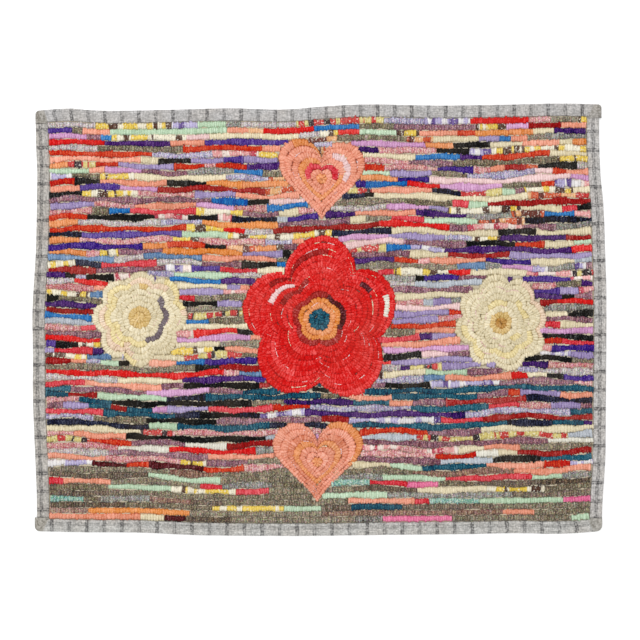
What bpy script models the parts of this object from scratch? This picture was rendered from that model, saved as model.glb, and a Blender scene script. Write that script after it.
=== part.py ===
"""A hooked rug: rows of rag loops pulled up through a burlap ground, edged with folded strips of cloth.

Metres, +Z up. The rug lies flat on z = 0 with its middle at the origin and its long sides along X.
The ground cloth and the loops pulled through it can't be taken apart, so they are one solid, with a
rib for each row of loops. Its bare margin runs out between the legs of the four binding strips.
"""

import math
from collections import namedtuple

import bmesh
import bpy
from mathutils import Vector

MM = 0.001

# The edge of the rug, in mm: a place along the side, and how far the edge lies from the middle there.
EdgePoint = namedtuple("EdgePoint", "along out")
TOP_EDGE = [
    EdgePoint(-498, 366.0),
    EdgePoint(-445, 370.2),
    EdgePoint(-380, 366.3),
    EdgePoint(-260, 368.0),
    EdgePoint(-155, 370.6),
    EdgePoint(-65, 368.3),
    EdgePoint(0, 373.2),
    EdgePoint(80, 377.4),
    EdgePoint(210, 375.4),
    EdgePoint(340, 377.2),
    EdgePoint(420, 379.0),
    EdgePoint(498, 377.2),
]
BOTTOM_EDGE = [
    EdgePoint(-498, 370.8),
    EdgePoint(-420, 372.8),
    EdgePoint(-310, 373.6),
    EdgePoint(-210, 378.0),
    EdgePoint(-25, 379.2),
    EdgePoint(110, 377.5),
    EdgePoint(265, 376.0),
    EdgePoint(345, 374.4),
    EdgePoint(420, 375.6),
    EdgePoint(498, 370.8),
]
LEFT_EDGE = [
    EdgePoint(-380, 495.8),
    EdgePoint(-320, 495.5),
    EdgePoint(-245, 498.2),
    EdgePoint(-140, 502.4),
    EdgePoint(-60, 502.5),
    EdgePoint(15, 503.3),
    EdgePoint(70, 500.3),
    EdgePoint(120, 497.4),
    EdgePoint(200, 495.6),
    EdgePoint(265, 495.1),
    EdgePoint(305, 497.0),
    EdgePoint(380, 498.0),
]
RIGHT_EDGE = [
    EdgePoint(-380, 495.0),
    EdgePoint(-325, 496.2),
    EdgePoint(-245, 501.2),
    EdgePoint(-140, 502.4),
    EdgePoint(45, 503.2),
    EdgePoint(120, 500.9),
    EdgePoint(200, 498.0),
    EdgePoint(255, 492.8),
    EdgePoint(330, 490.4),
    EdgePoint(380, 491.5),
]

# The binding: each strip is folded over the rug's edge, with one leg in front and one behind.
STRIP_WIDTH = 22 * MM
CLOTH = 1.0 * MM
EDGE_HEIGHT = 4.1 * MM
FOLD_ROUND = 2.2 * MM
FOLD_LOW, FOLD_HIGH = 0.3, 0.7
GAP = 0.3 * MM
SIDE_STATIONS = 26

# The ends of the long strips are turned in over the corners, and stand out from the short strips there.
Corner = namedtuple("Corner", "step radius")
CORNER_DEPTH = 24.5 * MM
CORNERS = {
    ("top", "left"): Corner(0.4 * MM, 7 * MM),
    ("top", "right"): Corner(4.0 * MM, 6 * MM),
    ("bottom", "left"): Corner(3.6 * MM, 8 * MM),
    ("bottom", "right"): Corner(0.4 * MM, 11 * MM),
}
ARC_STEPS = 3

# The hooked field: rows of loops along X.
ROWS = 69
COLUMNS = 26
PILE_VALLEY = 5.4 * MM
PILE_CREST = 7.9 * MM
PILE_LUMP = 0.4 * MM
LUMP_LENGTH = 195 * MM
LUMP_BREADTH = 245 * MM
ROW_WANDER = 2.6 * MM
WANDER_FADE = 0.12
Wave = namedtuple("Wave", "length drift share")
WANDER_WAVES = [Wave(430 * MM, 1.3, 1.0), Wave(190 * MM, -2.1, 0.5)]

# The bare margin of the ground cloth, between the legs of the binding.
MARGIN_BOTTOM = CLOTH + GAP
MARGIN_TOP = EDGE_HEIGHT - CLOTH - GAP
MARGIN_INSET = CLOTH + 2 * GAP
MARGIN_CORNER_CUT = 4 * MM

SHARP_ANGLE = math.radians(40)
Finish = namedtuple("Finish", "colour roughness")
FINISHES = {
    "hooked_rag": Finish((0.34, 0.17, 0.16), 0.95),
    "checked_cloth": Finish((0.47, 0.47, 0.46), 0.9),
}


def clear_scene():
    for thing in list(bpy.data.objects):
        bpy.data.objects.remove(thing)


def finish(name):
    """The plain material of a piece, with its shader's colour and roughness."""
    material = bpy.data.materials.get(name)
    if material is None:
        material = bpy.data.materials.new(name)
        material.use_nodes = True
        shader = material.node_tree.nodes["Principled BSDF"]
        shader.inputs["Base Color"].default_value = (*FINISHES[name].colour, 1)
        shader.inputs["Roughness"].default_value = FINISHES[name].roughness
        shader.inputs["Metallic"].default_value = 0
    return material


def lerp(start, end, share):
    return start + (end - start) * share


def slope(points, index):
    """The slope of the smooth curve through the edge's points at one of them."""
    before = points[max(index - 1, 0)]
    after = points[min(index + 1, len(points) - 1)]
    return (after.out - before.out) / (after.along - before.along)


def edge_out(points, along):
    """How far the edge lies from the middle of the rug at a place along it, in metres."""
    place = min(max(along / MM, points[0].along), points[-1].along)
    index = next(i for i in range(len(points) - 1) if place <= points[i + 1].along)
    start, end = points[index], points[index + 1]
    length = end.along - start.along
    share = (place - start.along) / length
    rise = end.out - start.out
    from_start = slope(points, index) * length - rise
    to_end = rise - slope(points, index + 1) * length
    bend = share * (1 - share) * lerp(from_start, to_end, share)
    return (lerp(start.out, end.out, share) + bend) * MM


def top_y(x, inset=0):
    return edge_out(TOP_EDGE, x) - inset


def bottom_y(x, inset=0):
    return inset - edge_out(BOTTOM_EDGE, x)


def left_x(y, inset=0):
    return inset - edge_out(LEFT_EDGE, y)


def right_x(y, inset=0):
    return edge_out(RIGHT_EDGE, y) - inset


def plan_point(across, up, inset):
    """A point of the rug in plan: across and up run from 0 to 1 inside an even border of the inset."""
    middle_x = lerp(left_x(0, inset), right_x(0, inset), across)
    y = lerp(bottom_y(middle_x, inset), top_y(middle_x, inset), up)
    x = lerp(left_x(y, inset), right_x(y, inset), across)
    return x, lerp(bottom_y(x, inset), top_y(x, inset), up)


def new_object(name, mesh, material):
    """A sub-part from a bmesh, with its doubles merged and its faces turned out."""
    bmesh.ops.remove_doubles(mesh, verts=mesh.verts, dist=0.01 * MM)
    bmesh.ops.recalc_face_normals(mesh, faces=mesh.faces)
    data = bpy.data.meshes.new(name)
    mesh.to_mesh(data)
    mesh.free()
    data.materials.append(finish(material))
    data.shade_smooth()
    data.set_sharp_from_angle(angle=SHARP_ANGLE)
    made = bpy.data.objects.new(name, data)
    bpy.context.scene.collection.objects.link(made)
    return made


def extrude_ring(mesh, ring, points):
    """Pulls a closed ring of edges out to new places, and gives the new ring in the same order."""
    edges = [mesh.edges.get(pair) for pair in zip(ring, ring[1:] + ring[:1])]
    made = bmesh.ops.extrude_edge_only(mesh, edges=edges)["geom"]
    fresh = {item for item in made if isinstance(item, bmesh.types.BMVert)}
    pulled = []
    for vertex, point in zip(ring, points):
        neighbours = [edge.other_vert(vertex) for edge in vertex.link_edges]
        copy = next(other for other in neighbours if other in fresh)
        pulled.append(copy)
        copy.co = point
    return pulled


def strip_section(outer, inner):
    """The folded strip's closed section, from a point on the rug's edge to one on its inner edge."""
    outer, inner = Vector(outer), Vector(inner)
    inward = (inner - outer).normalized()
    width = (inner - outer).length
    inset_and_height = (
        (width, 0),
        (FOLD_ROUND, 0),
        (0, FOLD_LOW * EDGE_HEIGHT),
        (0, FOLD_HIGH * EDGE_HEIGHT),
        (FOLD_ROUND, EDGE_HEIGHT),
        (width, EDGE_HEIGHT),
        (width, EDGE_HEIGHT - CLOTH),
        (CLOTH + GAP, EDGE_HEIGHT - CLOTH),
        (CLOTH + GAP, CLOTH),
        (width, CLOTH),
    )
    return [Vector((*(outer + inward * inset), height)) for inset, height in inset_and_height]


def make_strip(name, sections):
    """One binding strip, drawn through its sections from end to end."""
    rings = [strip_section(outer, inner) for outer, inner in sections]
    mesh = bmesh.new()
    ring = [mesh.verts.new(point) for point in rings[0]]
    mesh.faces.new(ring)
    for points in rings[1:]:
        ring = extrude_ring(mesh, ring, points)
    mesh.faces.new(ring)
    return new_object(name, mesh, "checked_cloth")


def corner_sections(side, end):
    """A long strip's turned-in end, from its free side round the corner, as (outer, inner) points."""
    corner = CORNERS[side, end]
    up = 1 if side == "top" else -1
    out = -1 if end == "left" else 1
    edge_x = left_x if end == "left" else right_x
    edge_y = top_y if side == "top" else bottom_y
    corner_y = edge_y(edge_x(0))
    inner_y = edge_y(edge_x(corner_y, STRIP_WIDTH)) - up * CORNER_DEPTH
    outer_x = edge_x(inner_y) + out * corner.step
    inner = (edge_x(inner_y, STRIP_WIDTH), inner_y)
    centre_x = outer_x - out * corner.radius
    centre_y = edge_y(centre_x) - up * corner.radius
    sections = [((outer_x, inner_y), inner)]
    for step in range(ARC_STEPS + 1):
        turn = step / ARC_STEPS * math.pi / 2
        x = centre_x + out * corner.radius * math.cos(turn)
        y = centre_y + up * corner.radius * math.sin(turn)
        sections.append(((x, y), inner))
    return sections


def make_long_strip(name, side):
    """A long binding strip: its two turned-in ends, and the run between them along the hooked field."""
    up, edge_y = (1, top_y) if side == "top" else (0, bottom_y)
    middle = []
    for column in range(COLUMNS + 1):
        x, y = plan_point(column / COLUMNS, up, STRIP_WIDTH + GAP)
        middle.append(((x, edge_y(x)), (x, edge_y(x, STRIP_WIDTH))))
    sections = corner_sections(side, "left") + middle + corner_sections(side, "right")[::-1]
    return make_strip(name, sections)


def make_short_strip(name, end):
    """A short binding strip, which runs between the turned-in ends of the long ones."""
    edge_x = left_x if end == "left" else right_x
    low = corner_sections("bottom", end)[0][1][1] + GAP
    high = corner_sections("top", end)[0][1][1] - GAP
    sections = []
    for station in range(SIDE_STATIONS + 1):
        y = lerp(low, high, station / SIDE_STATIONS)
        sections.append(((edge_x(y), y), (edge_x(y, STRIP_WIDTH), y)))
    return make_strip(name, sections)


def row_wander(x, up):
    """How far a row of loops strays up or down at a place, less and less towards the rug's ends."""
    stray = 0
    for wave in WANDER_WAVES:
        stray += wave.share * math.sin(math.tau * (x / wave.length + wave.drift * up))
    return ROW_WANDER * stray * min(1, up / WANDER_FADE, (1 - up) / WANDER_FADE)


def pile_height(x, y, line):
    """The height of the pile: a crest along the middle of each row, a valley between rows, and soft lumps."""
    along, across = math.tau * x / LUMP_LENGTH, math.tau * y / LUMP_BREADTH
    lump = math.sin(along + 2 * math.sin(across)) * math.sin(across + along / 3)
    return (PILE_CREST if line % 2 else PILE_VALLEY) + PILE_LUMP * lump


def make_field():
    """The ground cloth with its hooked pile, and its bare margin between the legs of the binding."""
    mesh = bmesh.new()
    lines = 2 * ROWS
    pile_inset = STRIP_WIDTH + GAP
    bmesh.ops.create_grid(mesh, x_segments=COLUMNS, y_segments=lines, size=1)
    grid = {}
    for vertex in mesh.verts:
        column = round((vertex.co.x + 1) / 2 * COLUMNS)
        line = round((vertex.co.y + 1) / 2 * lines)
        x, y = plan_point(column / COLUMNS, line / lines, pile_inset)
        vertex.co = (x, y + row_wander(x, line / lines), pile_height(x, y, line))
        grid[column, line] = vertex

    border = [(column, 0) for column in range(COLUMNS)]
    border += [(COLUMNS, line) for line in range(lines)]
    border += [(column, lines) for column in range(COLUMNS, 0, -1)]
    border += [(0, line) for line in range(lines, 0, -1)]
    ring = [grid[place] for place in border]
    pile_plan = [(vertex.co.x, vertex.co.y) for vertex in ring]
    margin_plan = [margin_point(place, lines, plan) for place, plan in zip(border, pile_plan)]
    for plan, height in (
        (pile_plan, MARGIN_TOP),
        (margin_plan, MARGIN_TOP),
        (margin_plan, MARGIN_BOTTOM),
        (pile_plan, MARGIN_BOTTOM),
        (pile_plan, 0),
    ):
        ring = extrude_ring(mesh, ring, [(x, y, height) for x, y in plan])
    mesh.faces.new(ring)
    return new_object("field", mesh, "hooked_rag")


def margin_point(place, lines, plan):
    """Where the margin's edge lies straight out from a point of the pile's border."""
    column, line = place
    x, y = plan
    at_end, at_side = column in (0, COLUMNS), line in (0, lines)
    inset = MARGIN_INSET + (MARGIN_CORNER_CUT if at_end and at_side else 0)
    margin_x = left_x(y, inset) if column == 0 else right_x(y, inset)
    margin_y = bottom_y(x, inset) if line == 0 else top_y(x, inset)
    return margin_x if at_end else x, margin_y if at_side else y


clear_scene()
make_field()
make_long_strip("binding_top", "top")
make_long_strip("binding_bottom", "bottom")
make_short_strip("binding_left", "left")
make_short_strip("binding_right", "right")
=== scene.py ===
"""A hooked rug: rows of rag loops in a burlap ground, edged with folded strips of checked cloth.

Metres, +Z up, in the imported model's frame: the rug lies face up on z = 0, with its middle at the origin
and its long sides along X. Every piece is dressed on the solid that it stands for.
"""

import math
from collections import namedtuple

import bmesh
import bpy
import numpy as np
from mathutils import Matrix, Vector, noise


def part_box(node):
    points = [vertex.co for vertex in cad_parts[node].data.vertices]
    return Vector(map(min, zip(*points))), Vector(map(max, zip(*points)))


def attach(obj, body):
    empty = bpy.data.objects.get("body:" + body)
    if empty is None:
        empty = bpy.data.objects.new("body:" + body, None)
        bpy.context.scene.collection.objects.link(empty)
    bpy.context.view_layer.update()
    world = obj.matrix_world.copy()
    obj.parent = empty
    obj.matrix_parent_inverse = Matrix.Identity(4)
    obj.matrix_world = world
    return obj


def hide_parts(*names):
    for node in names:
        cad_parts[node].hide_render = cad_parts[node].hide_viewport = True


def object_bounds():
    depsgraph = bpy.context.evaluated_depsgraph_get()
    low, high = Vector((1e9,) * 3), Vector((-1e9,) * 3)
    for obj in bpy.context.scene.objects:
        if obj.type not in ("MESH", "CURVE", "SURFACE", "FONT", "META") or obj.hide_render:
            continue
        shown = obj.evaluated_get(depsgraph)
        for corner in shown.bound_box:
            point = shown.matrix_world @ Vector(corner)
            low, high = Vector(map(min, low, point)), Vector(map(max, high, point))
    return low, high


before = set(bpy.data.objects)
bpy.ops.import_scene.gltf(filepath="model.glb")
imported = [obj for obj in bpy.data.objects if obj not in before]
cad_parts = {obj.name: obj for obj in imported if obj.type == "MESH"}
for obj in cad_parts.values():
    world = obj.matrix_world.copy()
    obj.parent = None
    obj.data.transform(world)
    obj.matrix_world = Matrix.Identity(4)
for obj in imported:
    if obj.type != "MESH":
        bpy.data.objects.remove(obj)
cad_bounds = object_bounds()


# ----------------------------
# The ground cloth. One piece of burlap, a little smaller than the rug, with its edge inside the binding.
# The maker draws the motifs on it and hooks the rags up through its weave in rows, which leaves thin
# ridges of the bare cloth pushed up between the rows.

MM = 0.001

# The rug in plan: how wide its binding is, how far in the pile starts, and its rows, which stray up and
# down in waves that fade out towards the first row and the last. A wave drifts along from row to row.
STRIP_WIDTH = 22 * MM
PILE_INSET = STRIP_WIDTH + 1.2 * MM
ROWS = 69
ROW_WANDER = 2.6 * MM
WANDER_FADE = 0.12
Wave = namedtuple("Wave", "length drift share")
WANDER_WAVES = [
    Wave(430 * MM, 1.3, 1.0),
    Wave(190 * MM, -2.1, 0.5),
    Wave(167 * MM, 19.7, 0.46),
    Wave(89 * MM, -23.3, 0.38),
    Wave(47 * MM, 14.1, 0.18),
]

# The cloth's top face: how high it lies under the loops, in the ridges between two rows, and in the bare
# margin that runs into the binding. A ridge is pushed up more in some places than in others.
GROUND_COLUMNS = 110
GROUND_LINES = 2 * ROWS
GROUND_CLOTH = 0.9 * MM
GROUND_FLOOR = 1.6 * MM
RIDGE_LOW, RIDGE_HIGH = 3.4 * MM, 7.2 * MM
RIDGE_LENGTH, RIDGE_BREADTH = 16 * MM, 7 * MM
RIDGE_PUSH, RIDGE_PUSH_VARY = 0.5, 0.8
MARGIN_HEIGHT = 2.4 * MM
MARGIN_WIDTH = 13 * MM

# Wear, painted highlights and painted shade show as equal steps once a dye's linear value is bent by this
# curve, so they show most on dark cloth.
WEAR_AND_SHADE_CURVE = 1.3


class Socket:
    """A value in a material. Arithmetic on it adds Math nodes."""

    def __init__(self, finish, output):
        self.finish = finish
        self.output = output

    def math(self, operation, first, second):
        return self.finish.node("ShaderNodeMath", {"operation": operation}, {0: first, 1: second})

    def __add__(self, other):
        return self.math("ADD", self, other)

    def __sub__(self, other):
        return self.math("SUBTRACT", self, other)

    def __rsub__(self, other):
        return self.math("SUBTRACT", other, self)

    def __mul__(self, other):
        return self.math("MULTIPLY", self, other)


class Finish:
    """A material built round one Principled BSDF, whose even values are set on its own sockets."""

    def __init__(self, name, even_values):
        self.material = bpy.data.materials.new(name)
        self.material.use_nodes = True
        self.tree = self.material.node_tree
        self.shader = self.tree.nodes["Principled BSDF"]
        for socket, value in even_values.items():
            self.shader.inputs[socket].default_value = value

    def node(self, kind, settings, inputs, output=0):
        """Adds a node of any type: its settings first, then the values or links of its sockets."""
        made = self.tree.nodes.new(kind)
        for name, value in settings.items():
            setattr(made, name, value)
        for name, value in inputs.items():
            self.feed(made.inputs[name], value)
        return Socket(self, made.outputs[output])

    def feed(self, socket, value):
        if isinstance(value, Socket):
            self.tree.links.new(value.output, socket)
        else:
            socket.default_value = value

    def place(self):
        return self.node("ShaderNodeTexCoord", {}, {}, "Object")

    def axis(self, vector, name):
        return self.node("ShaderNodeSeparateXYZ", {}, {0: vector}, name)

    def speckle(self, vector, size, detail=2):
        """Soft noise from 0 to 1, with spots of about that size."""
        return self.node("ShaderNodeTexNoise", {}, {"Vector": vector, "Scale": 1 / size, "Detail": detail})

    def streaks(self, vector, *sizes):
        """Soft noise from 0 to 1, drawn out to a size of its own along each axis."""
        scales = {0: vector, 1: tuple(1 / size for size in sizes)}
        stretched = self.node("ShaderNodeVectorMath", {"operation": "MULTIPLY"}, scales)
        return self.node("ShaderNodeTexNoise", {}, {"Vector": stretched, "Scale": 1, "Detail": 3})

    def threads(self, distance, spacing):
        """Even threads across a distance: 0 between two threads, 1 along the middle of each."""
        turns = distance * (math.tau / spacing)
        return self.node("ShaderNodeMath", {"operation": "SINE"}, {0: turns}) * 0.5 + 0.5

    def ease(self, value, low, high, start=0.0, end=1.0):
        """Runs from start to end as the value goes from low to high."""
        limits = {1: low, 2: high, 3: start, 4: end}
        return self.node("ShaderNodeMapRange", {}, {0: value, **limits})

    def clouds(self, place, kind):
        """Soft noise that runs between two strengths, in clouds of one kind."""
        return self.ease(self.speckle(place, kind.size, kind.detail), *kind.within, *kind.strength)

    def mix(self, share, first, second, blend="MIX"):
        """One colour laid over another. A plain colour has three parts."""
        colours = {6: first, 7: second}
        colours = {at: c if isinstance(c, Socket) else (*c, 1) for at, c in colours.items()}
        laid_over = {"data_type": "RGBA", "blend_type": blend}
        return self.node("ShaderNodeMix", laid_over, {0: share, **colours}, 2)

    def stepped(self, colour, step):
        """A colour made lighter or darker by a step along the curve of wear."""
        bent = self.node("ShaderNodeGamma", {}, {"Color": colour, "Gamma": 1 / WEAR_AND_SHADE_CURVE})
        added = {"data_type": "RGBA", "blend_type": "ADD", "clamp_result": True}
        bent = self.node("ShaderNodeMix", added, {0: 1.0, 6: bent, 7: self.grey(step)}, 2)
        return self.node("ShaderNodeGamma", {}, {"Color": bent, "Gamma": WEAR_AND_SHADE_CURVE})

    def grey(self, value):
        return self.node("ShaderNodeCombineColor", {}, {0: value, 1: value, 2: value})

    def paint(self, colour, height, depth):
        """Sets the colour of the surface, and a relief that is raised by up to the depth."""
        self.feed(self.shader.inputs["Base Color"], colour)
        relief = {"Strength": 1.0, "Distance": depth, "Height": height}
        self.feed(self.shader.inputs["Normal"], self.node("ShaderNodeBump", {}, relief, "Normal"))


def dye(red, green, blue):
    """A cloth's colour as seen in daylight, from 0 to 255, turned linear for a shader by the sRGB curve."""
    return tuple(((part / 255 + 0.055) / 1.055) ** 2.4 for part in (red, green, blue))


# The outer face of a binding's solid starts at this share of its height. Its points there are known by
# their height, and by how far round the rug they lie, to some digits.
FOLD_LOW = 0.3
SAME_HEIGHT = 0.05 * MM
TURN_DIGITS = 5


def fold_points(node):
    """The outermost points of a binding strip's fold in plan, in order round the rug."""
    low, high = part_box(node)
    facing = math.atan2(low.y + high.y, low.x + high.x)
    found = {}
    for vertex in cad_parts[node].data.vertices:
        x, y, z = vertex.co
        if abs(z - FOLD_LOW * high.z) < SAME_HEIGHT:
            turn = math.remainder(math.atan2(y, x) - facing, math.tau)
            found[round(turn, TURN_DIGITS)] = Vector((x, y))
    return [found[turn] for turn in sorted(found)]


def side_line(node, along):
    """One side of the rug without its corners: the places along it, and how far out it lies there."""
    reach = abs(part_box("field")[0][along]) - STRIP_WIDTH / 2
    points = [point for point in fold_points(node) if abs(point[along]) < reach]
    return np.array(sorted((point[along], point[1 - along]) for point in points)).T


TOP, BOTTOM = side_line("binding_top", 0), side_line("binding_bottom", 0)
LEFT, RIGHT = side_line("binding_left", 1), side_line("binding_right", 1)


def plan(across, up, inset):
    """Points of the rug in plan: across and up run from 0 to 1 inside a border as wide as the inset."""
    x = across - 0.5
    # The sides wave, so x and y are each found from the other, twice over.
    for _ in range(2):
        low, high = np.interp(x, *BOTTOM) + inset, np.interp(x, *TOP) - inset
        y = low + (high - low) * up
        start, end = np.interp(y, *LEFT) + inset, np.interp(y, *RIGHT) - inset
        x = start + (end - start) * across
    return x, y


def row_place(across, up):
    """Points of the hooked field, whose rows stray up and down, less and less towards its ends."""
    x, y = plan(across, up, PILE_INSET)
    stray = 0
    for wave in WANDER_WAVES:
        stray = stray + wave.share * np.sin(math.tau * (x / wave.length + wave.drift * up))
    return x, y + ROW_WANDER * stray * min(1, up / WANDER_FADE, (1 - up) / WANDER_FADE)


# A motif's outline is kept as its reach from its middle, all the way round, so that it can be hooked row
# inside row. The outlines are drawn by hand, so each sways a little, some number of times round.
Motif = namedtuple("Motif", "kind x y rows reach")
TURNS = np.linspace(0, math.tau, 361)
OUTLINE_SWAYS = {1: 0.02, 2: 0.03, 3: 0.02, 7: 0.008}
PETAL_ROUNDNESS = 0.8
HEART_SPAN, HEART_LIFT = 17, 0.12
luck = np.random.default_rng(seed=61)


def uneven(reach):
    """A reach with the slips of a hand that draws."""
    for waves, share in OUTLINE_SWAYS.items():
        reach = reach * (1 + share * np.sin(waves * TURNS + luck.uniform(0, math.tau)))
    return reach


def petalled(radius, petals, dip, start=0):
    """The reach of an open flower: round petals, with a dip between each two."""
    bulge = np.abs(np.cos(petals / 2 * (TURNS - start))) ** PETAL_ROUNDNESS
    return uneven(radius * (1 - dip * (1 - bulge)))


def heart(radius):
    """The reach of a heart on its tip: the usual curve for one, raised so that its middle lies inside."""
    x = 16 * np.sin(TURNS) ** 3 / HEART_SPAN
    y = 13 * np.cos(TURNS) - 5 * np.cos(2 * TURNS) - 2 * np.cos(3 * TURNS) - np.cos(4 * TURNS)
    y = y / HEART_SPAN + HEART_LIFT
    return uneven(radius * np.interp(TURNS, np.arctan2(y, x), np.hypot(x, y), period=math.tau))


MOTIFS = [
    Motif("rosette", 0.0, 0.0, 14, petalled(0.142, 5, 0.26, math.pi / 2)),
    Motif("daisy", -0.315, 0.004, 8, petalled(0.083, 8, 0.17)),
    Motif("daisy", 0.318, -0.006, 8, petalled(0.083, 8, 0.17, 0.2)),
    Motif("heart", 0.004, 0.246, 7, heart(0.082)),
    Motif("heart", -0.004, -0.250, 7, heart(0.082)),
]


def inside(motif, x, y, grow=0):
    """Whether points lie inside a motif's outline, moved out by a distance."""
    x, y = x - motif.x, y - motif.y
    return np.hypot(x, y) < np.interp(np.arctan2(y, x), TURNS, motif.reach, period=math.tau) + grow


def ground_height(x, y, line):
    """The ground cloth lies low under a row of loops, and is pushed up unevenly between two rows."""
    if line % 2 or any(inside(motif, x, y) for motif in MOTIFS):
        return GROUND_FLOOR
    unevenness = noise.noise(Vector((x / RIDGE_LENGTH, y / RIDGE_BREADTH, 0)))
    push = RIDGE_PUSH + RIDGE_PUSH_VARY * unevenness
    return RIDGE_LOW + (RIDGE_HIGH - RIDGE_LOW) * min(max(push, 0), 1)


def grid_step(place, steps):
    """Which step of a new grid a place lies on. The grid runs from -1 to 1."""
    return round((place + 1) / 2 * steps)


burlap = bmesh.new()
bmesh.ops.create_grid(burlap, x_segments=GROUND_COLUMNS + 2, y_segments=GROUND_LINES + 2, size=1)
for vertex in burlap.verts:
    column = grid_step(vertex.co.x, GROUND_COLUMNS + 2) - 1
    line = grid_step(vertex.co.y, GROUND_LINES + 2) - 1
    across = min(max(column / GROUND_COLUMNS, 0), 1)
    up = min(max(line / GROUND_LINES, 0), 1)
    x, y = row_place(across, up)
    height = MARGIN_HEIGHT
    if 0 < column < GROUND_COLUMNS and 0 < line < GROUND_LINES:
        height = ground_height(x, y, line)
    x += MARGIN_WIDTH * ((column > GROUND_COLUMNS) - (column < 0))
    y += MARGIN_WIDTH * ((line > GROUND_LINES) - (line < 0))
    vertex.co = (x, y, height)

# Burlap: how far apart its threads lie, its dyes, and the shade and the relief between the threads.
BURLAP_THREAD = 1.4 * MM
BURLAP_CLOUD = 22 * MM
RAW_BURLAP, PALE_BURLAP = dye(236, 216, 178), dye(252, 243, 222)
WEAVE_SHADE, WEAVE_RELIEF = 0.35, 0.35 * MM


def burlap_cloth():
    """Undyed burlap in a coarse plain weave, paler in clouds."""
    finish = Finish("burlap", {"Roughness": 0.95, "Sheen Weight": 0.1})
    place = finish.place()
    weave = finish.threads(finish.axis(place, "X"), BURLAP_THREAD)
    weave = weave * finish.threads(finish.axis(place, "Y"), BURLAP_THREAD)
    colour = finish.mix(finish.speckle(place, BURLAP_CLOUD, 4), RAW_BURLAP, PALE_BURLAP)
    colour = finish.mix(WEAVE_SHADE, colour, finish.grey(weave), "MULTIPLY")
    finish.paint(colour, weave, WEAVE_RELIEF)
    return finish


def new_piece(name, mesh, finish):
    """An object of one finish from a bmesh, shaded smooth, with its place in its mesh."""
    data = bpy.data.meshes.new(name)
    mesh.to_mesh(data)
    mesh.free()
    data.materials.append(finish.material)
    data.shade_smooth()
    made = bpy.data.objects.new(name, data)
    bpy.context.scene.collection.objects.link(made)
    return made


def thicken(piece, thickness):
    """Gives a piece of cloth its thickness, behind the face that was modelled."""
    cloth = piece.modifiers.new("cloth", "SOLIDIFY")
    cloth.thickness = thickness
    cloth.offset = -1


ground_cloth = new_piece("ground_cloth", burlap, burlap_cloth())
thicken(ground_cloth, GROUND_CLOTH)
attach(ground_cloth, "root")
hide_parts("field")


# ----------------------------
# The rows of rags. Worn jersey, tweed and printed cotton are cut in strips about a finger wide, and
# pulled up through the burlap with a hook in low loops, each row made of rags of many colours and
# lengths, set end to end as they came to hand.

# A row: how many loops it has, how unlike their lengths are, how far its ends stray, how much more than
# its share of the height it fills, and how far it keeps from a motif.
ROW_LOOPS = 208
ROW_LOOPS_VARY = 5
LOOP_VARY = 0.24
ROW_END_VARY = 1.6 * MM
ROW_FILL = 1.08
MOTIF_CLEARANCE = 0.6 * MM

# A loop: its height on the crest and in the dip before the next one, the height of its back, the dip's
# share of its width, and how far the crest spreads both ways. A rag thinner than the full half width
# stands lower, down to a sliver's share of the height.
CREST = 7.9 * MM
VALLEY = 6.2 * MM
RAG_BACK = 0.25 * MM
VALLEY_WIDTH = 0.86
CREST_SPREAD = 0.35 * MM
FULL_HALF = 3.5 * MM
SLIVER_STAND = 0.95

# How unlike each other the rags are in fullness, and their loops in height, width, lean and place. The dips
# vary by only a share of that.
RAG_FULLNESS = (0.92, 1.1)
HEIGHT_VARY = 0.45 * MM
WIDTH_VARY = 0.15
DIP_VARIES = 0.4
LEAN_VARY, DIP_LEANS = 0.8 * MM, 0.3
SLIDE_VARY, DIP_SLIDES = 0.25 * MM, 0

# Steps of wear from rag to rag and from loop to loop, and for each cloth a painted highlight on its crests
# and painted shade in its dips.
RAG_STEP, LOOP_STEP = 0.03, 0.028
CREST_HIGHLIGHT_DIP_SHADE = {"jersey": (0.025, -0.05), "tweed": (0.03, -0.1), "print": (0.025, -0.06)}

# The most that one of a tweed's other yarns shows in a loop. A print shows its three dyes in patches, from
# the first number of spots to just under the second, each dye with its own share of them.
YARN_VARY = 0.4
PRINT_PATCH = (2, 11)
PRINT_SHARES = (0.46, 0.34, 0.2)

# Round a loop in section: how far across it is, how high, and how much darker, as a step along the curve:
# painted shade, with some dust, in the grooves on the flanks and under the loop.
Spot = namedtuple("Spot", "across height step")
SECTION = [
    Spot(0, 1, 0),
    Spot(0.6, 0.94, -0.01),
    Spot(1, 0.66, -0.125),
    Spot(0.5, 0.12, -0.11),
    Spot(0, 0, -0.08),
    Spot(-0.5, 0.12, -0.11),
    Spot(-1, 0.66, -0.125),
    Spot(-0.6, 0.94, -0.01),
    Spot(0, 1, 0),
]

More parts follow.
